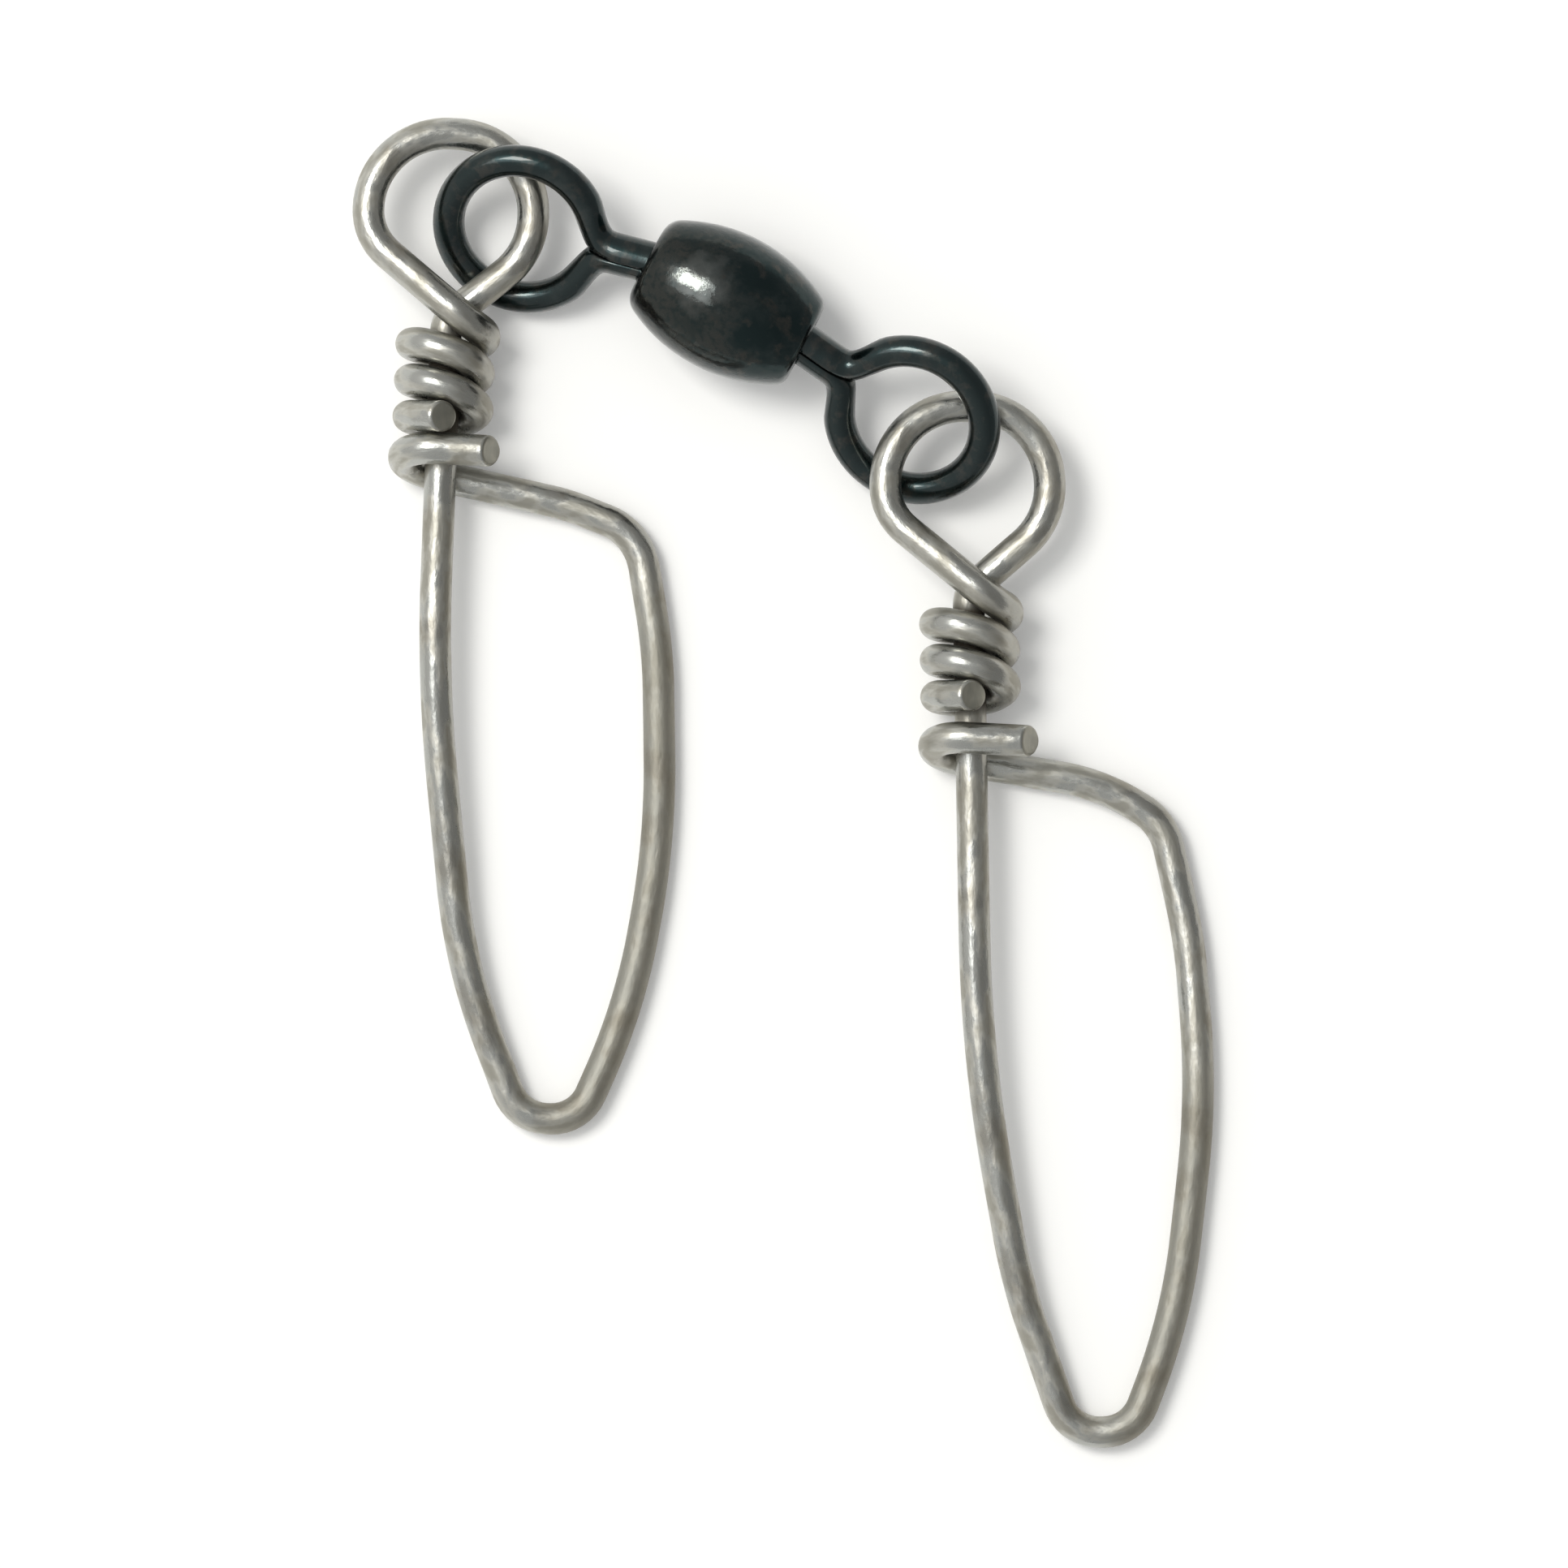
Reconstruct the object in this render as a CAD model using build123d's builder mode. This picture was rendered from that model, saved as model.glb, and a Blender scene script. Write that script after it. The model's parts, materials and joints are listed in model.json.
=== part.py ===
from build123d import *
from math import acos, cos, degrees, hypot, radians, sin, sqrt, tan
import os

# Double snap swivel for fishing line: a barrel swivel with a wire snap linked to each eye.
# It lies flat on z = 0 as it would on a table, seen from above, with +Y up the picture.
# Lengths are in millimetres and angles in degrees.

# Wire, the same gauge in the snaps and in the eyes of the swivel
wire_diameter = 1.45
link_gap = 0.28

# Barrel: a pressed shell, fattest at the middle, spun in at both ends
barrel_length = 8.1
barrel_diameter = 6.4
barrel_end_diameter = 4.1
barrel_wall = 0.55
barrel_bore = 2.6
left_shoulder_radius = 0.95
right_shoulder_radius = 0.6
bore_edge_radius = 0.12
bore_land = 0.05
cavity_corner_radius = 0.4
barrel_heading = -28.0

# Swivel eyes: a ring of wire whose two legs are pressed into a round stem with an upset head
ring_radius = 3.4
ring_reach = 6.2
neck_distance = 3.8
neck_bend_radius = 1.1
stem_diameter = 1.92
stem_taper = 0.7
leg_press = 0.02
seam_depth = 0.2
seam_width = 0.26
seam_lip = 0.01
head_diameter = 3.2
head_gap = 0.5
head_taper = 0.5
head_length = 0.6
left_stem_heading = 165.2
right_stem_heading = -35.0
tilt_passes = 4

# Snap eyes, and where their centres lie from the centres of the swivel's rings
eye_left = 3.7
eye_right = 3.77
eye_top = 3.85
eye_rise = 5.97
eye_left_drop = 0.95
eye_right_drop = 1.39
eye_top_radius = 3.55
eye_left_radius = 2.65
eye_right_radius = 3.4
left_link_across = -3.25
left_link_up = 0.47
right_link_across = 2.5
right_link_up = -3.22

# Heights of the snap eye's sides over its own standing wire
eye_left_lift = 0.9
eye_top_lift = 0.1
eye_right_lift = 0.2

# Wraps: the wire's first end, wound round the standing wire below the eye
wrap_turns = 3
wrap_sides = 6
wrap_pitch = 1.65
wrap_gap = 0.08
wrap_rounding = 0.9
wrap_lean = 7.5
wrap_tip = 14.0
throat_lift = 0.15
throat_swell = 0.3
throat_rise = 0.02
throat_drop = 1.42
throat_radius = 1.3
tail_length = 1.5
tail_lift = 38.0

# Hook: the wire's other end, caught round the standing wire below the wraps
left_hook_drop = 4.48
left_hook_tip = 2.67
left_hook_fall = 0.05
right_hook_drop = 5.12
right_hook_tip = 3.03
right_hook_fall = 0.33
hook_side_gap = 0.15
hook_rounding = 0.97
hook_climb = 0.9
hook_tip_lift = 0.12
bar_slope = 10.5
bar_bend_across = 5.75
bar_bend_radius = 9.5

# Loops of the snaps, from the first wrap down the standing leg, round the tip and up to the bar
left_loop_length = 34.73
left_loop_width = 10.47
left_tip_across = 5.99
left_tip_lean = 22.7
left_leg_straight = 14.9
left_shoulder_drop = 7.9
right_loop_length = 36.93
right_loop_width = 10.1
right_tip_across = 5.42
right_tip_lean = 18.0
right_leg_straight = 19.6
right_shoulder_drop = 9.2
leg_bend_radius = 60.0
leg_bend_rise = 6.9
leg_foot_radius = 28.0
tip_radius = 1.93
tip_lead = 0.1
tip_flare = 21.7
flare_rise = 5.3
belly_drop = 21.73
belly_bulge = 0.14
belly_radius = 38.0
shoulder_lead = 5.4
shoulder_lead_inset = 0.3
shoulder_lead_radius = 25.0
shoulder_inset = 1.4
shoulder_radius = 2.8
left_snap_heading = -2.2
right_snap_heading = 1.0

# Where the middle of the barrel lies from the middle of the whole part
barrel_across = -2.61
barrel_up = 21.84

# Sizes that follow from those above
wire_radius = wire_diameter / 2
stem_radius = stem_diameter / 2
wrap_radius = wire_diameter + wrap_gap
wrap_corner = wrap_radius / cos(radians(180 / wrap_sides))
wrap_bend_radius = wrap_rounding * wrap_radius
wrap_reach = wrap_corner - wrap_bend_radius * (wrap_corner / wrap_radius - 1)
hook_bend_radius = hook_rounding * wrap_radius
standing_height = wrap_reach + wire_radius
strand_spacing = wire_diameter + link_gap


def direction(heading):
    """Level unit vector at an angle from +X towards +Y."""
    return Vector(cos(radians(heading)), sin(radians(heading)), 0)


def swivel_eye(seat):
    """Eye of black wire: ring, the two legs pressed into a stem, and the head inside the barrel."""
    leg_offset = stem_radius - wire_radius - leg_press
    neck = ring_reach - neck_distance
    strand = hypot(neck_distance, leg_offset)
    tangent_angle = degrees(acos(ring_radius / strand) + acos(neck_distance / strand))
    head_radius = head_diameter / 2
    head_end = head_gap + head_taper + head_length
    seam_mouth = stem_radius + seam_lip
    stem_centre = Plane(origin=seat.origin, x_dir=seat.x_dir, z_dir=seat.y_dir)

    with BuildPart() as eye:
        # One leg and half of the ring, then the same mirrored
        leg_start = (neck - stem_taper, leg_offset)
        with BuildLine(seat) as half_loop:
            ring = CenterArc((ring_reach, 0), ring_radius, 0, 180 - tangent_angle)
            FilletPolyline(ring @ 1, (neck, leg_offset), leg_start, radius=[neck_bend_radius])
        leg_plane = Plane(origin=seat.from_local_coords((*leg_start, 0)), z_dir=seat.x_dir)
        with BuildSketch(leg_plane):
            Circle(wire_radius)
        sweep(path=half_loop.line)
        mirror(about=stem_centre)

        # The pressed stem, tapering off between the legs, and the head that holds it in the barrel
        with BuildSketch(seat):
            with BuildLine():
                Polyline(
                    (-head_end, 0),
                    (-head_end, head_radius),
                    (-head_gap - head_taper, head_radius),
                    (-head_gap, stem_radius),
                    (neck - stem_taper, stem_radius),
                    (neck, wire_radius),
                    (neck, 0),
                    close=True,
                )
            make_face()
        revolve(axis=Axis(seat.origin, seat.x_dir))

        # The seam where the legs meet, above and below
        with BuildSketch(Plane(origin=seat.origin, x_dir=seat.y_dir, z_dir=seat.x_dir)):
            for side in (1, -1):
                with BuildLine():
                    Polyline(
                        (-seam_width / 2, side * seam_mouth),
                        (seam_width / 2, side * seam_mouth),
                        (0, side * (stem_radius - seam_depth)),
                        close=True,
                    )
                make_face()
        extrude(amount=neck, mode=Mode.SUBTRACT)
    return eye


def wrap_point(angle):
    """Corner of the wraps at an angle about the standing wire: 0 in front, 90 on the right."""
    across = wrap_corner * sin(radians(angle))
    forward = wrap_corner * cos(radians(angle))
    up = wrap_pitch * (1 - angle / 360) - wrap_radius * tan(radians(wrap_tip))
    up += forward * tan(radians(wrap_tip)) - across * tan(radians(wrap_lean))
    return Vector(across, up, forward)


def snap_route(
    loop_length,
    loop_width,
    tip_across,
    tip_lean,
    leg_straight,
    shoulder_drop,
    hook_drop,
    hook_tip,
    hook_fall,
):
    """Corners of one snap's wire, end to end, each with the radius it is rounded to."""
    floor = wire_radius - standing_height
    step = 360 / wrap_sides
    last_angle = 360 * wrap_turns - step / 2
    corners = []

    # Tail, then up round the wraps to the throat
    tail = direction(0) * cos(radians(tail_lift)) + Vector(0, 0, sin(radians(tail_lift)))
    start = wrap_point(last_angle) + tail * tail_length
    angle = last_angle
    while angle > 2 * step:
        corners.append((wrap_point(angle), wrap_bend_radius))
        angle -= step
    corners.append((wrap_point(angle) + Vector(throat_swell, throat_rise, 0), wrap_bend_radius))
    corners.append((wrap_point(angle - step) + Vector(0, 0, throat_lift), wrap_bend_radius))

    # Round the eye and down to the standing wire
    eye_corners = [
        (-eye_left, -eye_left_drop, eye_left_lift, eye_left_radius),
        (-eye_left, eye_top, (eye_left_lift + eye_top_lift) / 2, eye_top_radius),
        (eye_right, eye_top, eye_top_lift, eye_top_radius),
        (eye_right, -eye_right_drop, eye_right_lift, eye_right_radius),
    ]
    for across, up, lift, radius in eye_corners:
        corners.append((Vector(across, eye_rise + up, lift), radius))
    corners.append((Vector(0, throat_drop, 0), throat_radius))

    # Standing leg, round the tip, and up the opening leg to the shoulder
    half_lean = tan(radians(90 - tip_lean) / 2) * tip_radius + tip_lead
    half_flare = tan(radians(90 - tip_flare) / 2) * tip_radius + tip_lead
    left_foot = Vector(tip_across - half_lean, -loop_length, floor)
    right_foot = Vector(tip_across + half_flare, -loop_length, floor)
    flare_top = right_foot + Vector(flare_rise * tan(radians(tip_flare)), flare_rise, 0)
    bend_share = leg_bend_rise / (loop_length - leg_straight)
    leg_bend = left_foot + Vector(
        -leg_bend_rise * tan(radians(tip_lean)), leg_bend_rise, -floor * bend_share
    )
    shoulder = Vector(loop_width - shoulder_inset, -shoulder_drop, floor)
    shoulder_start = Vector(
        loop_width - shoulder_lead_inset, -shoulder_drop - shoulder_lead, floor
    )
    corners += [
        (Vector(0, -leg_straight, 0), leg_bend_radius),
        (leg_bend, leg_foot_radius),
        (left_foot, tip_radius),
        (right_foot, tip_radius),
        (flare_top, leg_foot_radius),
        (Vector(loop_width + belly_bulge, -belly_drop, floor), belly_radius),
        (shoulder_start, shoulder_lead_radius),
        (shoulder, shoulder_radius),
    ]

    # Bar behind the standing wire, and the hook round it to the front
    hook_side = wrap_radius + hook_side_gap
    hook_back = Vector(-hook_side, -hook_drop - hook_climb, -wrap_radius)
    bar_bend = hook_back + Vector(1, -tan(radians(bar_slope)), 0) * (bar_bend_across + hook_side)
    corners += [
        (Vector(bar_bend.X, bar_bend.Y, floor), bar_bend_radius),
        (hook_back, hook_bend_radius),
        (Vector(-hook_side, -hook_drop, wrap_radius), hook_bend_radius),
    ]
    end = Vector(hook_tip, -hook_drop - hook_fall, wrap_radius + hook_tip_lift)
    points = [start] + [point for point, _ in corners] + [end]
    return points, [radius for _, radius in corners]


def snap_wire(seat, points, radii):
    """Snap bent from one piece of spring wire."""
    corners = [seat.from_local_coords(point) for point in points]
    with BuildPart() as snap:
        with BuildLine() as route:
            FilletPolyline(*corners, radius=radii)
        with BuildSketch(Plane(origin=corners[0], z_dir=corners[1] - corners[0])):
            Circle(wire_radius)
        sweep(path=route.line)
    return snap


def ring_crossings(across, up):
    """Where a snap eye crosses a swivel ring in plan, lower one first, from the ring's centre."""
    spacing = hypot(across, up)
    towards = Vector(across, up, 0) / spacing
    beside = Vector(-towards.Y, towards.X, 0)
    eye_radius = (eye_left + eye_right) / 2
    along = (ring_radius**2 - eye_radius**2 + spacing**2) / (2 * spacing)
    half_chord = sqrt(ring_radius**2 - along**2)
    middle = towards * along
    return sorted([middle - beside * half_chord, middle + beside * half_chord], key=lambda p: p.Y)


def stem_seat(pivot, heading, crossings, low_lift, high_lift):
    """Plane of a swivel eye: origin in the bore, x out along the stem, tilted to pass its link.

    At the lower crossing the ring runs under the snap's wire, and at the upper one over it.
    """
    outward = direction(heading)
    beside = direction(heading + 90)
    low, high = crossings
    low_height = standing_height + low_lift - strand_spacing
    high_height = standing_height + high_lift + strand_spacing
    fall = 0
    for _ in range(tilt_passes):
        low_level = low_height + fall * low.dot(outward)
        high_level = high_height + fall * high.dot(outward)
        roll = (high_level - low_level) / (high.dot(beside) - low.dot(beside))
        fall = (pivot.Z - low_level + roll * low.dot(beside)) / ring_reach
    stem = Vector(outward.X, outward.Y, -fall).normalized()
    across = Vector(beside.X, beside.Y, roll)
    return Plane(origin=pivot, x_dir=stem, z_dir=stem.cross(across))


# Barrel, lying with its belly on the table
barrel_seat = Plane(
    origin=(barrel_across, barrel_up, barrel_diameter / 2),
    x_dir=direction(barrel_heading),
    z_dir=(0, 0, 1),
)
half_length = barrel_length / 2
belly_rise = (barrel_diameter - barrel_end_diameter) / 2
belly_arc_radius = (half_length**2 + belly_rise**2) / (2 * belly_rise)
belly_centre = barrel_diameter / 2 - belly_arc_radius
cavity_half = half_length - barrel_wall
cavity_arc_radius = belly_arc_radius - barrel_wall
cavity_end = belly_centre + sqrt(cavity_arc_radius**2 - cavity_half**2)
bore_edge = min(bore_edge_radius, (cavity_end - barrel_bore / 2) / 2)


def end_rounding(radius, half_width, arc_radius):
    """Radius of the corner at an end wall, limited to what the rounded bore leaves of the wall."""
    lowest = barrel_bore / 2 + bore_edge + bore_land - belly_centre
    limit = (arc_radius**2 - half_width**2 - lowest**2) / (2 * (arc_radius - half_width))
    return min(radius, limit)


with BuildPart() as swivel_barrel:
    with BuildSketch(barrel_seat) as wall_section:
        with BuildLine():
            belly = ThreePointArc(
                (-half_length, barrel_end_diameter / 2),
                (0, barrel_diameter / 2),
                (half_length, barrel_end_diameter / 2),
            )
            Polyline(belly @ 1, (half_length, 0), (-half_length, 0), belly @ 0)
        make_face()
        left_shoulder = wall_section.vertices().group_by(Axis.X)[0].sort_by(Axis.Y)[-1]
        fillet(left_shoulder, end_rounding(left_shoulder_radius, half_length, belly_arc_radius))
        right_shoulder = wall_section.vertices().group_by(Axis.X)[-1].sort_by(Axis.Y)[-1]
        fillet(right_shoulder, end_rounding(right_shoulder_radius, half_length, belly_arc_radius))
        with BuildSketch(mode=Mode.SUBTRACT) as cavity:
            with BuildLine():
                lining = ThreePointArc(
                    (-cavity_half, cavity_end),
                    (0, barrel_diameter / 2 - barrel_wall),
                    (cavity_half, cavity_end),
                )
                Polyline(lining @ 1, (cavity_half, 0), (-cavity_half, 0), lining @ 0)
            make_face()
            cavity_corners = cavity.vertices().group_by(Axis.Y)[-1]
            cavity_radius = end_rounding(cavity_corner_radius, cavity_half, cavity_arc_radius)
            fillet(cavity_corners, cavity_radius)
        Rectangle(barrel_length, barrel_bore, mode=Mode.SUBTRACT)
        fillet(wall_section.vertices().group_by(Axis.Y)[0], bore_edge)
    revolve(axis=Axis(barrel_seat.origin, barrel_seat.x_dir))
swivel_barrel.part.label = "swivel_barrel"

# Swivel eyes, each turning in the bore at one end of the barrel
bore_middle = half_length - barrel_wall / 2
left_seat = stem_seat(
    barrel_seat.from_local_coords((-bore_middle, 0, 0)),
    left_stem_heading,
    ring_crossings(left_link_across, left_link_up),
    eye_right_lift / 2,
    eye_top_lift,
)
right_seat = stem_seat(
    barrel_seat.from_local_coords((bore_middle, 0, 0)),
    right_stem_heading,
    ring_crossings(right_link_across, right_link_up),
    (eye_left_lift + eye_top_lift) / 2,
    eye_top_lift,
)
left_eye_wire = swivel_eye(left_seat)
left_eye_wire.part.label = "left_eye_wire"
right_eye_wire = swivel_eye(right_seat)
right_eye_wire.part.label = "right_eye_wire"


def snap_seat(eye_seat, link_across, link_up, heading):
    """Plane of a snap: origin on the standing wire at the first wrap, y up the wire."""
    ring_centre = eye_seat.from_local_coords((ring_reach, 0, 0))
    eye_centre = Vector(ring_centre.X + link_across, ring_centre.Y + link_up, standing_height)
    origin = eye_centre - direction(heading + 90) * eye_rise
    return Plane(origin=origin, x_dir=direction(heading), z_dir=(0, 0, 1))


# Snaps, each linked through the ring of one swivel eye
left_snap_seat = snap_seat(left_seat, left_link_across, left_link_up, left_snap_heading)
right_snap_seat = snap_seat(right_seat, right_link_across, right_link_up, right_snap_heading)
left_snap_wire = snap_wire(
    left_snap_seat,
    *snap_route(
        left_loop_length,
        left_loop_width,
        left_tip_across,
        left_tip_lean,
        left_leg_straight,
        left_shoulder_drop,
        left_hook_drop,
        left_hook_tip,
        left_hook_fall,
    ),
)
left_snap_wire.part.label = "left_snap_wire"
right_snap_wire = snap_wire(
    right_snap_seat,
    *snap_route(
        right_loop_length,
        right_loop_width,
        right_tip_across,
        right_tip_lean,
        right_leg_straight,
        right_shoulder_drop,
        right_hook_drop,
        right_hook_tip,
        right_hook_fall,
    ),
)
right_snap_wire.part.label = "right_snap_wire"

os.makedirs("parts", exist_ok=True)
export_step(swivel_barrel.part, "parts/swivel_barrel.step")
export_step(left_eye_wire.part, "parts/left_eye_wire.step")
export_step(right_eye_wire.part, "parts/right_eye_wire.step")
export_step(left_snap_wire.part, "parts/left_snap_wire.step")
export_step(right_snap_wire.part, "parts/right_snap_wire.step")
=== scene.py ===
import json
import math

import bmesh
import bpy
from bpy.props import FloatProperty, FloatVectorProperty, IntProperty, PointerProperty
from bpy.types import Operator, Panel, PropertyGroup
from mathutils import Matrix, Vector, noise


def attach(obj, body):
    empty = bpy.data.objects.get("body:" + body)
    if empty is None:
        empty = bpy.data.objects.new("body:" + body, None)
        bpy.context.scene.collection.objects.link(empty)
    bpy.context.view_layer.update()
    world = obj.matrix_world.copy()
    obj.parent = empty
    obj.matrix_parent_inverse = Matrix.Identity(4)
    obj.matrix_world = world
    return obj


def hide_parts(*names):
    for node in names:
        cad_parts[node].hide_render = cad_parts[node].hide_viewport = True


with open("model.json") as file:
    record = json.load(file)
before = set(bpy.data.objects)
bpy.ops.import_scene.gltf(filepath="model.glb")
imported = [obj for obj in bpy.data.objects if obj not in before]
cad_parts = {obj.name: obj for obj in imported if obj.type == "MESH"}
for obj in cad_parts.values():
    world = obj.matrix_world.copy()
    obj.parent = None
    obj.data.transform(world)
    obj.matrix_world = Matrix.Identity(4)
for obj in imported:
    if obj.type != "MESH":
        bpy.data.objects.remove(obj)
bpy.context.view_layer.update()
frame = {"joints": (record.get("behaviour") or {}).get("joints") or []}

bl_info = {
    "name": "Double Snap Swivel",
    "version": (1, 0, 0),
    "blender": (4, 5, 0),
    "location": "View3D > Sidebar > Snap Swivel",
    "description": "Barrel swivel with two wire eyes, each linked to a long spring wire snap",
    "category": "Add Mesh",
}

JOINTS = {joint["name"]: joint for joint in frame["joints"]}
DOUBLES = 1e-7  # Metres within which two vertices are one


def linear(srgb):
    """RGBA of an sRGB hex colour, as the shaders take it."""
    channels = [int(srgb[start:start + 2], 16) / 255 for start in (1, 3, 5)]
    return [c / 12.92 if c <= 0.04045 else ((c + 0.055) / 1.055) ** 2.4 for c in channels] + [1.0]


def length(name, description, millimetres):
    """Property for a length."""
    return FloatProperty(
        name=name, description=description, default=millimetres / 1000, unit="LENGTH", precision=6
    )


def angle(name, description, degrees):
    """Property for an angle."""
    return FloatProperty(
        name=name, description=description, default=math.radians(degrees), subtype="ANGLE"
    )


def share(name, description, value):
    """Property for a share of one."""
    return FloatProperty(name=name, description=description, default=value, subtype="FACTOR")


def count(name, description, value):
    """Property for a whole number."""
    return IntProperty(name=name, description=description, default=value)


def number(name, description, value):
    """Property for a plain number."""
    return FloatProperty(name=name, description=description, default=value)


def direction(name, description, vector):
    """Property for a direction."""
    return FloatVectorProperty(
        name=name, description=description, default=vector, subtype="DIRECTION"
    )


def colour(name, description, srgb):
    """Property for a colour."""
    return FloatVectorProperty(
        name=name, description=description, default=linear(srgb), size=4, subtype="COLOR"
    )


class WireSizes(PropertyGroup):
    """Wire that the snaps and the swivel's eyes are bent from."""

    thickness: length("Thickness", "Diameter of the wire", 1.45)
    ring_spacing: length("Ring spacing", "Distance between rings of the mesh on straight runs", 0.3)
    turn_step: angle("Turn per ring", "Most that the wire turns from one ring to the next", 9)
    sides: count("Sides", "Faces round the wire", 40)
    dent_size: length("Dent size", "Distance between low dents round the wire", 1.1)
    dent_stretch: share("Dent stretch", "Width of a dent against its length", 0.625)
    dent_depth: length("Dent depth", "Depth of the low dents left by bending", 0.006)
    cut_bevel: length("Cut edge", "Rounding of the edge at a cut end", 0.2)
    cut_steps: count("Cut edge steps", "Faces in that rounding", 3)
    hook_cut: angle("Hook cut", "How far the cut at the hook's tip leans to face up", 24)
    tail_cut: angle("Tail cut", "How far the cut at the tail leans to face up", 15)


class BarrelSizes(PropertyGroup):
    """Barrel of the swivel."""

    end_length: length("Length", "Length from end face to end face", 8.1)
    thickness: length("Thickness", "Diameter at the middle", 6.4)
    end_thickness: length("End thickness", "Diameter at each end before it is rounded", 4.1)
    wall: length("Wall", "Thickness of the pressed shell", 0.55)
    bore: length("Bore", "Diameter of the hole that each stem turns in", 2.6)
    left_shoulder: length("Left shoulder", "Rounding of the shoulder at the left end", 0.95)
    right_shoulder: length("Right shoulder", "Rounding of the shoulder at the right end", 0.6)
    lip: length("Lip", "Rounding of the edge of each bore", 0.12)
    dent_size: length("Dent size", "Distance between low dents in the shell", 2.4)
    dent_depth: length("Dent depth", "Depth of the low dents", 0.006)
    steps: count("Steps", "Faces round the barrel", 128)
    belly_steps: count("Belly steps", "Faces along the belly", 40)
    inner_steps: count("Inner steps", "Faces along the inside", 16)
    left_steps: count("Left steps", "Faces in the left shoulder", 10)
    right_steps: count("Right steps", "Faces in the right shoulder", 8)
    lip_steps: count("Lip steps", "Faces in each rounding of a lip", 4)
    brown_full: length("Brown end", "X at which the worn left end is at its brownest", -4.5)
    brown_end: length("Brown edge", "X at which that brown has faded", -1.5)
    brown_fray: length("Brown fray", "How far the edge of that brown wanders", 1.5)
    # The rubbed place is also a painted highlight and sheen where the window lamp's highlight falls
    rub_sheen_core: length("Rub core", "How far out the rubbed place stays bright", 0.32)
    rub_sheen_size: length("Rub size", "How far out the rubbed place fades", 1.6)
    rub_sheen_fray: length("Rub fray", "How far the edge of the rubbed place wanders", 0.4)
    rub_sheen_along: length("Rub along", "From the middle to the rubbed place", -1.4)
    rub_sheen_turn: angle("Rub turn", "Turn of the rubbed place round the barrel, from the top", 5)


class EyeSizes(PropertyGroup):
    """Eyes of the swivel."""

    ring_radius: length("Ring radius", "Radius of the ring, to the middle of the wire", 3.4)
    neck_distance: length("Neck distance", "From the middle of the ring back to the neck", 3.8)
    neck_bend: length("Neck bend", "Radius of the bend where each leg leaves the neck", 1.1)
    stem: length("Stem", "Diameter of the stem that the two legs are pressed into", 1.92)
    seam: length("Seam", "Gap left between the pressed legs", 0.03)
    leg_middle: share("Leg middle", "Middle of a pressed leg against the stem's radius", 0.45)
    pressed_until: length("Pressed until", "Where the pressing starts to fade before the neck", 0.9)
    pressed_fade: length("Fade", "Length over which the pressing fades out", 1.5)
    head: length("Head", "Diameter of the upset head inside the barrel", 3.2)
    head_start: length("Head start", "From the bore to the start of the head", 0.5)
    head_taper: length("Head taper", "Length over which the stem widens to the head", 0.5)
    head_length: length("Head length", "Length of the full head", 0.6)
    ring_corners: count("Ring corners", "Arcs that make up a ring", 6)


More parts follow.
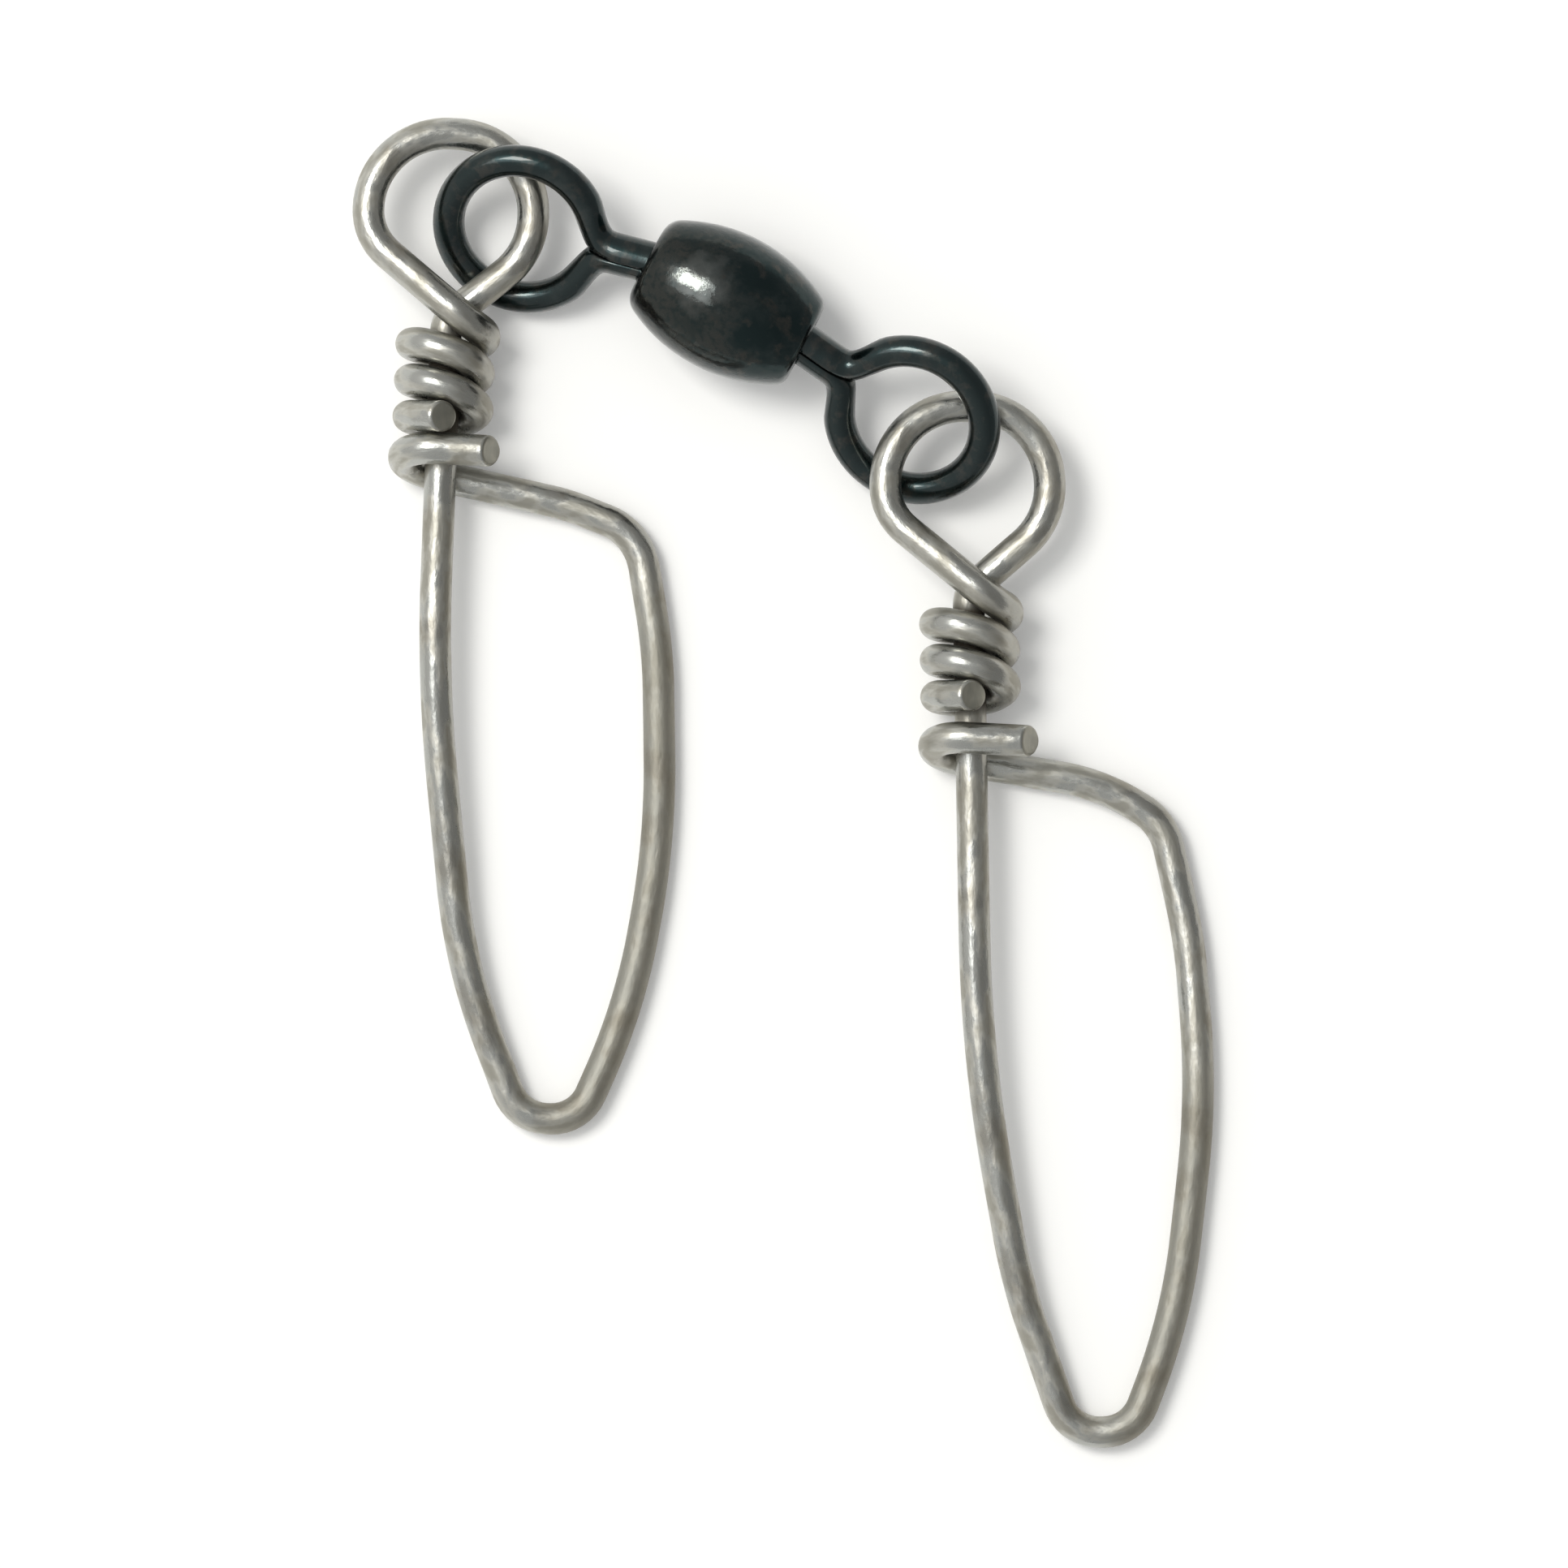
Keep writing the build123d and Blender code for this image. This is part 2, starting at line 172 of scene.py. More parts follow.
class SnapBends:
    """Bends that both snaps share."""

    eye_left: length("Eye left", "From the middle of the eye to its left side", 3.7)
    eye_right: length("Eye right", "From the middle of the eye to its right side", 3.77)
    eye_top: length("Eye top", "From the middle of the eye to its top", 3.85)
    eye_rise: length("Eye rise", "From the first wrap up to the middle of the eye", 5.97)
    eye_left_drop: length("Eye left drop", "How low the eye's left side turns in", 0.95)
    eye_right_drop: length("Eye right drop", "How low the eye's right side turns in", 1.39)
    eye_top_radius: length("Eye top radius", "Bend radius at the top of the eye", 3.55)
    eye_left_radius: length("Eye left radius", "Bend radius at the lower left of the eye", 2.65)
    eye_right_radius: length("Eye right radius", "Bend radius at the lower right of the eye", 3.4)
    eye_left_lift: length("Eye left lift", "Height of the eye's left side over its leg", 0.9)
    eye_top_lift: length("Eye top lift", "Height of the eye's top over its leg", 0.1)
    eye_right_lift: length("Eye right lift", "Height of the eye's right side over its leg", 0.2)
    wrap_turns: count("Wraps", "Turns round the standing leg", 3)
    wrap_sides: count("Bends per wrap", "Bends in one turn", 6)
    wrap_pitch: length("Wrap pitch", "Distance from one wrap to the next", 1.65)
    wrap_drop: length("Wrap drop", "How far the wraps have slid down the leg", 0)
    wrap_gap: length("Wrap gap", "Gap between the wraps and the standing leg", 0.08)
    wrap_rounding: share("Wrap rounding", "Bend radius of the wraps against their radius", 0.9)
    wrap_lean: angle("Wrap lean", "How far the wraps lean down to the right", 7.5)
    wrap_tip: angle("Wrap tip", "How far the wraps tip up at the front", 14)
    throat_lift: length("Throat lift", "How far the wire stands forward at the throat", 0.15)
    throat_swell: length("Throat swell", "How far the first wrap stands out to the right", 0.3)
    throat_rise: length("Throat rise", "How far the first wrap stands up on the right", 0.02)
    throat_drop: length("Throat drop", "Height at which the eye bends into its leg", 1.42)
    throat_radius: length("Throat radius", "Bend radius where the eye meets its leg", 1.3)
    tail_length: length("Tail length", "Length of the cut tail past the last wrap", 1.5)
    tail_lift: angle("Tail lift", "How far the tail stands up", 38)
    hook_side_gap: length("Hook side gap", "Gap between the hook's side and the leg", 0.15)
    hook_rounding: share("Hook rounding", "Bend radius of the hook against the wraps' radius", 0.97)
    hook_climb: length("Hook climb", "How far the hook climbs round the side of the leg", 0.9)
    hook_tip_lift: length("Hook tip lift", "How far the hook's tip stands forward", 0.12)
    bar_slope: angle("Bar slope", "How far the bar falls away from the hook", 10.5)
    bar_bend_across: length("Bar bend", "From the leg out to the bend in the bar", 5.75)
    bar_bend_radius: length("Bar bend radius", "Radius of the bend in the bar", 9.5)
    leg_bend_radius: length("Leg bend radius", "Radius where the leg starts to lean", 60)
    leg_bend_rise: length("Leg bend rise", "From the tip up to the leg's lower bend", 6.9)
    leg_foot_radius: length("Leg foot radius", "Radius of the bends above the tip", 28)
    tip_radius: length("Tip radius", "Bend radius on each side of the tip", 1.93)
    tip_lead: length("Tip lead", "Straight run on each side of the tip's middle", 0.1)
    tip_flare: angle("Tip flare", "How far the opening leg leans out from the tip", 21.7)
    flare_rise: length("Flare rise", "From the tip up to the opening leg's lower bend", 5.3)
    belly_drop: length("Belly drop", "From the first wrap down to the widest place", 21.73)
    belly_bulge: length("Belly bulge", "How far the opening leg bulges", 0.14)
    belly_radius: length("Belly radius", "Bend radius of the bulge", 38)
    shoulder_lead: length("Shoulder lead", "From the shoulder down to the bend below it", 5.4)
    shoulder_lead_inset: length("Shoulder lead inset", "How far that bend lies in", 0.3)
    shoulder_lead_radius: length("Shoulder lead radius", "Radius of that bend", 25)
    shoulder_inset: length("Shoulder inset", "How far the shoulder lies in", 1.4)
    shoulder_radius: length("Shoulder radius", "Bend radius of the shoulder", 2.8)


class LeftSnapSizes(SnapBends, PropertyGroup):
    """Left snap."""

    link_across: length("Link across", "From the swivel's ring across to the snap's eye", -3.25)
    link_up: length("Link up", "From the swivel's ring up to the snap's eye", 0.47)
    heading: angle("Heading", "Turn of the snap on the table", -2.2)
    loop_length: length("Loop length", "From the first wrap down to the tip", 34.73)
    loop_width: length("Loop width", "From the standing leg to the opening leg", 10.47)
    tip_across: length("Tip across", "From the standing leg to the middle of the tip", 5.99)
    tip_lean: angle("Tip lean", "Lean of the standing leg at the tip", 22.7)
    leg_straight: length("Straight leg", "How far down the standing leg stays straight", 14.9)
    shoulder_drop: length("Shoulder drop", "From the first wrap down to the shoulder", 7.9)
    hook_drop: length("Hook drop", "From the first wrap down to the hook", 4.48)
    hook_tip: length("Hook tip", "How far the hook's cut tip stands out", 2.67)
    hook_fall: length("Hook fall", "How far the hook's tip hangs below its bend", 0.05)
    dull_from: length("Dull from", "How far down the opening leg starts to turn dull", 9)


class RightSnapSizes(SnapBends, PropertyGroup):
    """Right snap."""

    link_across: length("Link across", "From the swivel's ring across to the snap's eye", 2.5)
    link_up: length("Link up", "From the swivel's ring up to the snap's eye", -3.22)
    heading: angle("Heading", "Turn of the snap on the table", 1.0)
    loop_length: length("Loop length", "From the first wrap down to the tip", 36.93)
    loop_width: length("Loop width", "From the standing leg to the opening leg", 10.1)
    tip_across: length("Tip across", "From the standing leg to the middle of the tip", 5.42)
    tip_lean: angle("Tip lean", "Lean of the standing leg at the tip", 18)
    leg_straight: length("Straight leg", "How far down the standing leg stays straight", 19.6)
    shoulder_drop: length("Shoulder drop", "From the first wrap down to the shoulder", 9.2)
    hook_drop: length("Hook drop", "From the first wrap down to the hook", 5.12)
    wrap_drop: length("Wrap drop", "How far the wraps have slid down the leg", 0.27)
    hook_tip: length("Hook tip", "How far the hook's cut tip stands out", 3.03)
    hook_fall: length("Hook fall", "How far the hook's tip hangs below its bend", 0.33)
    dull_from: length("Dull from", "How far down the opening leg starts to turn dull", 18)


class Marks(PropertyGroup):
    """Sizes of the marks on the metals and on the card."""

    # Real drawing lines, shear marks, plating pits and card fibres are a few hundredths of a
    # millimetre apart, too fine to show, so they are drawn as coarse as they need to show
    line_size: length("Line size", "Distance between the fine lines that drawing leaves", 0.2)
    line_stretch: share("Line stretch", "Width of such a line against its length", 0.08)
    line_depth: length("Line depth", "Depth of such a line", 0.02)
    patch_size: length("Patch size", "Distance between bright and dull patches of tin", 0.8)
    patch_stretch: share("Patch stretch", "Width of such a patch against its length", 0.4)
    blotch_size: length("Blotch size", "Distance between brown blotches", 2.2)
    ripple_size: length("Ripple size", "Distance between ripples in the tin", 0.36)
    ripple_depth: length("Ripple depth", "Depth of the ripples", 0.05)
    shear_size: length("Shear size", "Distance between the marks of the shears", 0.25)
    shear_stretch: share("Shear stretch", "Width of such a mark against its length", 0.4)
    shear_depth: length("Shear depth", "Depth of such a mark", 0.02)
    bloom_size: length("Bloom size", "Distance between clouds in the black nickel", 1.6)
    mottle_size: length("Mottle size", "Distance between mottles in the black nickel", 0.7)
    mottle_depth: length("Mottle depth", "Depth of the mottles", 0.04)
    pit_size: length("Pit size", "Distance between pits in the black nickel", 0.3)
    pit_depth: length("Pit depth", "Depth of the pits", 0.02)
    fibre_size: length("Fibre size", "Distance between fibres of the card", 0.6)
    fibre_depth: length("Fibre depth", "Depth of the fibres", 0.02)


class Finishes(PropertyGroup):
    """Colours of the metals, the card and the light."""

    steel: colour("Steel", "Bright drawn steel wire", "#B8B7B0")
    steel_cool: colour("Cool steel", "Steel where the tin lies thick", "#ACADA9")
    steel_olive: colour("Olive steel", "Steel dulled by handling", "#939085")
    # Brown also used as painted shade on the flanks that face right
    steel_brown: colour("Brown stain", "Stain on worn places and on the flanks", "#7B7364")
    # Grime colour, also used as painted shade in the wraps round the standing leg
    grime_and_shade: colour("Packed grime", "Grime packed between the wraps", "#453F34")
    sheared: colour("Sheared steel", "Metal at a cut end", "#8B897F")
    nickel: colour("Black nickel", "Main colour of the black plating", "#2B3535")
    nickel_green: colour("Green bloom", "Green and blue bloom in the plating", "#192829")
    nickel_brown: colour("Brown bloom", "Brown bloom where the plating has worn", "#393A37")
    # Rubbed plating, also a painted highlight and sheen round the window lamp's highlight
    nickel_rubbed_sheen: colour("Rubbed nickel", "Plating rubbed bright on the swell", "#626563")
    table: colour("Table", "Matt white card under the object", "#F4F4F3")
    key_tint: colour("Window tint", "Light of the window lamp", "#FFFDF8")
    curtain_tint: colour("Curtain tint", "Light of the broad soft lamp", "#FCFDFF")
    room_left_tint: colour("Left room tint", "Room light from the left", "#F5F4F1")
    room_right_tint: colour("Right room tint", "Room light from the right", "#F0F2F2")


class StageSizes(PropertyGroup):
    """Camera, lamps and floor."""

    floor_radius: length("Floor radius", "Radius of the card under the object", 2500)
    floor_sides: count("Floor sides", "Sides of the card", 96)
    floor_glow: share("Floor glow", "Glow of the card to the camera and in the metal", 0.11)
    camera_height: length("Camera height", "Height of the camera over the table", 600)
    camera_reach: length("Camera reach", "Farthest that the camera sees", 20000)
    frame_width: length("Frame width", "Width of the picture, measured on the table", 71.47)
    sensor: number("Sensor", "Width of the sensor in millimetres", 36)
    key_direction: direction("Window direction", "Towards the window lamp", (-0.40, 0.30, 0.87))
    key_distance: length("Window distance", "Distance of the window lamp", 600)
    key_size: length("Window size", "Side of the window lamp", 205)
    key_power: number("Window power", "Window lamp, in watts", 1.64)
    curtain_direction: direction("Curtain direction", "Towards the soft lamp", (-0.44, 0.18, 0.88))
    curtain_distance: length("Curtain distance", "Distance of the broad soft lamp", 650)
    curtain_size: length("Curtain size", "Side of the broad soft lamp", 380)
    curtain_power: number("Curtain power", "Soft lamp, in watts", 0.71)
    room_left: number("Room left", "Room light from the left", 0.88)
    room_right: number("Room right", "Room light from the right", 0.43)
    room_left_end: number("Room left end", "Where the light from the left stays full", -0.7)
    room_right_end: number("Room right end", "Where the light from the right is reached", 0.6)


class SnapSwivelSettings(PropertyGroup):
    """All that can be set on the snap swivel."""

    wire: PointerProperty(type=WireSizes)
    barrel: PointerProperty(type=BarrelSizes)
    eye: PointerProperty(type=EyeSizes)
    left_snap: PointerProperty(type=LeftSnapSizes)
    right_snap: PointerProperty(type=RightSnapSizes)
    marks: PointerProperty(type=Marks)
    finishes: PointerProperty(type=Finishes)
    stage: PointerProperty(type=StageSizes)


def add_node(tree, kind, inputs=None, **settings):
    """Adds a node, sets its properties, and sets or links its inputs. A node given for an input is
    linked from its first output in use."""
    node = tree.nodes.new(kind)
    for name, value in settings.items():
        setattr(node, name, value)
    for name, value in (inputs or {}).items():
        if isinstance(value, bpy.types.Node):
            value = next(output for output in value.outputs if output.enabled)
        if isinstance(value, bpy.types.NodeSocket):
            tree.links.new(value, node.inputs[name])
        else:
            node.inputs[name].default_value = value
    return node


def new_material(name):
    """Empty material with its tree."""
    material = bpy.data.materials.new(name)
    material.use_nodes = True
    material.node_tree.nodes.clear()
    return material, material.node_tree


def frayed_share(tree, value, pattern, reach, fray, full, end, most):
    """Share of a tone that is at its most where a value is full and gone where it is at its end. A
    pattern, read within its reach of a half, shifts the value by up to the fray either way."""
    ragged = add_node(
        tree, "ShaderNodeMapRange",
        {
            "Value": pattern,
            "From Min": 0.5 - reach,
            "From Max": 0.5 + reach,
            "To Min": -fray,
            "To Max": fray,
        },
    )
    frayed = add_node(tree, "ShaderNodeMath", {0: value, 1: ragged}, operation="ADD")
    return add_node(
        tree, "ShaderNodeMapRange",
        {"Value": frayed, "From Min": full, "From Max": end, "To Min": most, "To Max": 0},
    )


def drawn_steel_wire():
    """Tinned spring steel wire, drawn and then bent cold: ragged bright streaks where it has rubbed
    smooth, duller olive and brown patches where it was handled, a brown stain that is partly
    painted shade on the flanks that face right, and dark grime with painted shade in the wraps."""
    finishes = bpy.context.scene.snap_swivel.finishes
    marks = bpy.context.scene.snap_swivel.marks
    material, tree = new_material("Tinned spring steel wire")
    unbent = add_node(tree, "ShaderNodeAttribute", attribute_name="unbent").outputs["Vector"]
    worn = add_node(tree, "ShaderNodeAttribute", attribute_name="wear_and_shade").outputs["Vector"]
    # The attribute holds grime with painted shade, dullness, and how far each place faces right
    wear_and_shade = add_node(tree, "ShaderNodeSeparateXYZ", {0: worn}).outputs
    grime_and_shade_share, handled, rightward = wear_and_shade["X"], wear_and_shade["Y"], wear_and_shade["Z"]
    along, stretched = (
        add_node(tree, "ShaderNodeMapping", {"Vector": unbent, "Scale": (1, 1, stretch)})
        for stretch in (marks.line_stretch, marks.patch_stretch)
    )

    # Place that each pattern is read at, the size of its marks, and its detail
    lines, patches, blotches, ripples = (
        add_node(tree, "ShaderNodeTexNoise", {"Vector": place, "Scale": 1 / size, "Detail": detail})
        for place, size, detail in (
            (along, marks.line_size, 3),
            (stretched, marks.patch_size, 6),
            (unbent, marks.blotch_size, 6),
            (stretched, marks.ripple_size, 3),
        )
    )

    # What gives each share, where it starts, where it is full, and the most that it covers
    cool, olive, brown, dulled = (
        add_node(
            tree, "ShaderNodeMapRange",
            {"Value": value, "From Min": low, "From Max": high, "To Max": most},
        )
        for value, low, high, most in (
            (patches, 0.49, 0.55, 1),
            (patches, 0.48, 0.4, 0.6),
            (blotches, 0.54, 0.68, 0.4),
            (handled, 0, 1, 0.6),
        )
    )
    # Brown on the flanks that face right: partly stain, partly painted shade on the side away from
    # the lamps
    stain_and_flank_shade = frayed_share(
        tree, rightward, patches, reach=0.2, fray=0.3, full=0.4, end=0.1, most=0.35
    )
    tone = finishes.steel
    for amount, next_tone in (
        (cool, finishes.steel_cool),
        (olive, finishes.steel_olive),
        (dulled, finishes.steel_olive),
        (brown, finishes.steel_brown),
        (stain_and_flank_shade, finishes.steel_brown),
        # Grime with painted shade in the wraps
        (grime_and_shade_share, finishes.grime_and_shade),
    ):
        tone = add_node(
            tree, "ShaderNodeMix", {0: amount, 6: tone, 7: next_tone}, data_type="RGBA"
        )

    # Smoothest where the tin is bright, matt where it was handled, roughest under the grime and
    # painted shade
    rough = add_node(
        tree, "ShaderNodeMapRange",
        {"Value": patches, "From Min": 0.42, "From Max": 0.56, "To Min": 0.44, "To Max": 0.26},
    )
    for amount, roughness in ((handled, 0.6), (grime_and_shade_share, 0.75)):
        rough = add_node(
            tree, "ShaderNodeMapRange", {"Value": amount, "To Min": rough, "To Max": roughness}
        )
    metallic = add_node(tree, "ShaderNodeMapRange", {"Value": grime_and_shade_share, "To Min": 1, "To Max": 0.4})
    line_bump = add_node(
        tree, "ShaderNodeBump", {"Height": lines, "Strength": 0.4, "Distance": marks.line_depth}
    )
    bump = add_node(
        tree, "ShaderNodeBump",
        {"Height": ripples, "Strength": 0.8, "Distance": marks.ripple_depth, "Normal": line_bump},
    )
    shader = add_node(
        tree, "ShaderNodeBsdfPrincipled",
        {"Base Color": tone, "Metallic": metallic, "Roughness": rough, "Normal": bump},
    )
    add_node(tree, "ShaderNodeOutputMaterial", {"Surface": shader})
    return material


def sheared_steel():
    """Cut end of the wire: bare spring steel gone dull, with faint marks of the shears."""
    finishes = bpy.context.scene.snap_swivel.finishes
    marks = bpy.context.scene.snap_swivel.marks
    material, tree = new_material("Sheared spring steel")
    place = add_node(tree, "ShaderNodeTexCoord").outputs["Object"]
    across = add_node(
        tree, "ShaderNodeMapping", {"Vector": place, "Scale": (1, marks.shear_stretch, 1)}
    )
    lines = add_node(
        tree, "ShaderNodeTexNoise", {"Vector": across, "Scale": 1 / marks.shear_size, "Detail": 4}
    )
    olive = add_node(
        tree, "ShaderNodeMapRange", {"Value": lines, "From Min": 0.4, "From Max": 0.65}
    )
    tone = add_node(
        tree, "ShaderNodeMix",
        {0: olive, 6: finishes.sheared, 7: finishes.steel_olive},
        data_type="RGBA",
    )
    bump = add_node(
        tree, "ShaderNodeBump", {"Height": lines, "Strength": 0.6, "Distance": marks.shear_depth}
    )
    shader = add_node(
        tree, "ShaderNodeBsdfPrincipled",
        {"Base Color": tone, "Metallic": 1.0, "Roughness": 0.42, "Normal": bump},
    )
    add_node(tree, "ShaderNodeOutputMaterial", {"Surface": shader})
    return material


def black_nickel(name, rubbed_sheen_place=None):
    """Black nickel plated over brass, with a cloudy green, blue and brown bloom and fine worn
    marks.
    The barrel, on Object coordinates, is a dark mirror that turns browner towards its left end and
    has one bright rubbed place, which is also a painted highlight and sheen round the lamp's
    highlight. The eyes follow the unbent wire: satin under a clear gloss."""
    finishes = bpy.context.scene.snap_swivel.finishes
    marks = bpy.context.scene.snap_swivel.marks
    barrel = bpy.context.scene.snap_swivel.barrel
    material, tree = new_material(name)

    # Each range: where the pattern starts and ends to count, and what it then gives
    if rubbed_sheen_place is None:
        place = add_node(tree, "ShaderNodeAttribute", attribute_name="unbent").outputs["Vector"]
        green_range = (0.36, 0.5, 0, 1)
        brown_range = (0.5, 0.62, 0, 0.8)
        rough_range = (0.4, 0.62, 0.24, 0.38)
        gloss = {"Coat Weight": 0.65, "Coat Roughness": 0.08}
    else:
        place = add_node(tree, "ShaderNodeTexCoord").outputs["Object"]
        green_range = (0.44, 0.58, 0, 1)
        brown_range = (0.53, 0.64, 0, 1)
        rough_range = (0.4, 0.62, 0.07, 0.2)
        gloss = {"Coat Weight": 0.25, "Coat Roughness": 0.32}
    bloom, mottle, pits = (
        add_node(tree, "ShaderNodeTexNoise", {"Vector": place, "Scale": 1 / size, "Detail": detail})
        for size, detail in ((marks.bloom_size, 6), (marks.mottle_size, 4), (marks.pit_size, 4))
    )
    green, brown, specks, rough = (
        add_node(
            tree, "ShaderNodeMapRange",
            {"Value": value, "From Min": low, "From Max": high, "To Min": least, "To Max": most},
        )
        for value, (low, high, least, most) in (
            (bloom, green_range),
            (mottle, brown_range),
            (pits, (0.46, 0.62, 0, 0.6)),
            (bloom, rough_range),
        )
    )

    # The barrel: browner towards its left end, and plating rubbed bright round one place, which is
    # also a painted highlight and sheen
    rubbed_sheen_layers = []
    if rubbed_sheen_place is not None:
        across = add_node(tree, "ShaderNodeSeparateXYZ", {0: place}).outputs["X"]
        left_end = frayed_share(
            tree, across, bloom, reach=0.2, fray=barrel.brown_fray,
            full=barrel.brown_full, end=barrel.brown_end, most=0.8,
        )
        brown = add_node(tree, "ShaderNodeMath", {0: brown, 1: left_end}, operation="MAXIMUM")
        distance = add_node(
            tree, "ShaderNodeVectorMath", {0: place, 1: rubbed_sheen_place}, operation="DISTANCE"
        )
        # Rubbed plating, also a painted highlight and sheen round the window lamp's highlight
        rubbed = frayed_share(
            tree, distance, mottle, reach=0.15, fray=barrel.rub_sheen_fray,
            full=barrel.rub_sheen_core, end=barrel.rub_sheen_size, most=0.7,
        )
        rubbed_sheen_layers = [(rubbed, finishes.nickel_rubbed_sheen)]
    tone = finishes.nickel
    for amount, next_tone in (
        (green, finishes.nickel_green),
        (brown, finishes.nickel_brown),
        (specks, finishes.nickel_green),
        *rubbed_sheen_layers,
    ):
        tone = add_node(
            tree, "ShaderNodeMix", {0: amount, 6: tone, 7: next_tone}, data_type="RGBA"
        )
    pit_bump = add_node(
        tree, "ShaderNodeBump", {"Height": pits, "Strength": 0.4, "Distance": marks.pit_depth}
    )
    bump = add_node(
        tree, "ShaderNodeBump",
        {"Height": mottle, "Strength": 0.5, "Distance": marks.mottle_depth, "Normal": pit_bump},
    )
    shader = add_node(
        tree, "ShaderNodeBsdfPrincipled",
        {"Base Color": tone, "Metallic": 1.0, "Roughness": rough, "Normal": bump, **gloss},
    )
    add_node(tree, "ShaderNodeOutputMaterial", {"Surface": shader})
    return material


def white_card():
    """Matt white studio card, plain and faintly fibrous. It glows a little to the camera and in the
    metal's reflections, so that it reads as white and still takes the object's shadow."""
    settings = bpy.context.scene.snap_swivel
    marks = settings.marks
    material, tree = new_material("Matt white card")
    place = add_node(tree, "ShaderNodeTexCoord").outputs["Object"]
    fibre = add_node(tree, "ShaderNodeTexNoise", {"Vector": place, "Scale": 1 / marks.fibre_size})
    bump = add_node(
        tree, "ShaderNodeBump", {"Height": fibre, "Strength": 0.05, "Distance": marks.fibre_depth}
    )
    rays = add_node(tree, "ShaderNodeLightPath").outputs
    seen = add_node(
        tree, "ShaderNodeMath",
        {0: rays["Is Camera Ray"], 1: rays["Is Glossy Ray"]},
        operation="MAXIMUM",
    )
    glow = add_node(
        tree, "ShaderNodeMath", {0: seen, 1: settings.stage.floor_glow}, operation="MULTIPLY"
    )
    shader = add_node(
        tree, "ShaderNodeBsdfPrincipled",
        {
            "Base Color": settings.finishes.table,
            "Emission Strength": glow,
            "Roughness": 0.9,
            "Specular IOR Level": 0.2,
            "Normal": bump,
        },
    )
    add_node(tree, "ShaderNodeOutputMaterial", {"Surface": shader})
    return material


def heading_vector(heading):
    """Level unit vector at an angle from +X towards +Y."""
    return Vector((math.cos(heading), math.sin(heading), 0))


def seat_matrix(origin, along, up):
    """Place of a bent wire: its own x along one vector and its own z along another."""
    across = up.cross(along)
    return Matrix.Translation(origin) @ Matrix((along, across, up)).transposed().to_4x4()


def eye_seat(side):
    """Place of a swivel eye, from its joints: origin in the bore, x out along the stem."""
    spin = JOINTS[side + "_eye_spin"]
    swing = JOINTS[side + "_snap_swing"]
    return seat_matrix(Vector(spin["pos_m"]), Vector(spin["axis"]), Vector(swing["axis"]))


def route_stations(corners, spacing, turn_step):
    """Place, heading and distance of each ring along a wire whose corners are rounded. A straight
    run between two bends that is shorter than a quarter of the spacing gets no ring."""
    points = [point for point, _ in corners]
    shortest_run = spacing / 4
    stations = [(points[0], (points[1] - points[0]).normalized(), 0.0)]

    def run_to(place, heading):
        start, _, distance = stations[-1]
        run = (place - start).length
        steps = max(1, round(run / spacing))
        for step in range(1, steps + 1):
            reach = run * step / steps
            stations.append((start + heading * reach, heading, distance + reach))

    for before, (corner, radius), after in zip(points, corners[1:-1], points[2:]):
        arriving = (corner - before).normalized()
        leaving = (after - corner).normalized()
        turn = arriving.angle(leaving)
        arc_start = corner - arriving * radius * math.tan(turn / 2)
        if (arc_start - stations[-1][0]).length > shortest_run:
            run_to(arc_start, arriving)
        centre = corner + (leaving - arriving).normalized() * radius / math.cos(turn / 2)
        axis = arriving.cross(leaving)
        distance = stations[-1][2]
        steps = max(1, math.ceil(turn / turn_step), round(radius * turn / spacing))
        for step in range(1, steps + 1):
            swing = Matrix.Rotation(turn * step / steps, 3, axis)
            place = centre + swing @ (arc_start - centre)
            stations.append((place, swing @ arriving, distance + radius * turn * step / steps))
    run_to(points[-1], (points[-1] - points[-2]).normalized())
    return stations


def ramp(value, start, end):
    """How far a value has gone from a start to an end, from 0 to 1."""
    return min(1, max(0, (value - start) / (end - start)))


def draw_wire(stations, radius, sides):
    """Tube drawn out ring by ring along its stations. Each vertex keeps its place on the straight
    wire in the attribute unbent, so that a pattern can follow the bends."""
    bm = bmesh.new()
    unbent = bm.verts.layers.float_vector.new("unbent")
    place, heading, _ = stations[0]
    turned = Vector((0, 0, 1)).rotation_difference(heading).to_matrix().to_4x4()
    start = Matrix.Translation(place) @ turned
    ring = bmesh.ops.create_circle(bm, segments=sides, radius=radius, matrix=start)["verts"]
    back = start.inverted()
    for vert in ring:
        vert[unbent] = back @ vert.co
    first = list(bm.edges)
    edges = first
    for (place, heading, _), (next_place, next_heading, distance) in zip(stations, stations[1:]):
        drawn = bmesh.ops.extrude_edge_only(bm, edges=edges)["geom"]
        ring = {item for item in drawn if isinstance(item, bmesh.types.BMVert)}
        drawn_edges = [item for item in drawn if isinstance(item, bmesh.types.BMEdge)]
        edges = [edge for edge in drawn_edges if ring.issuperset(edge.verts)]
        turn = heading.rotation_difference(next_heading).to_matrix().to_4x4()
        step = Matrix.Translation(next_place) @ turn @ Matrix.Translation(-place)
        bmesh.ops.transform(bm, matrix=step, verts=list(ring))
        for vert in ring:
            vert[unbent].z = distance
    for rim in (first, edges):
        bmesh.ops.edgeloop_fill(bm, edges=rim)
    bmesh.ops.recalc_face_normals(bm, faces=bm.faces)
    return bm


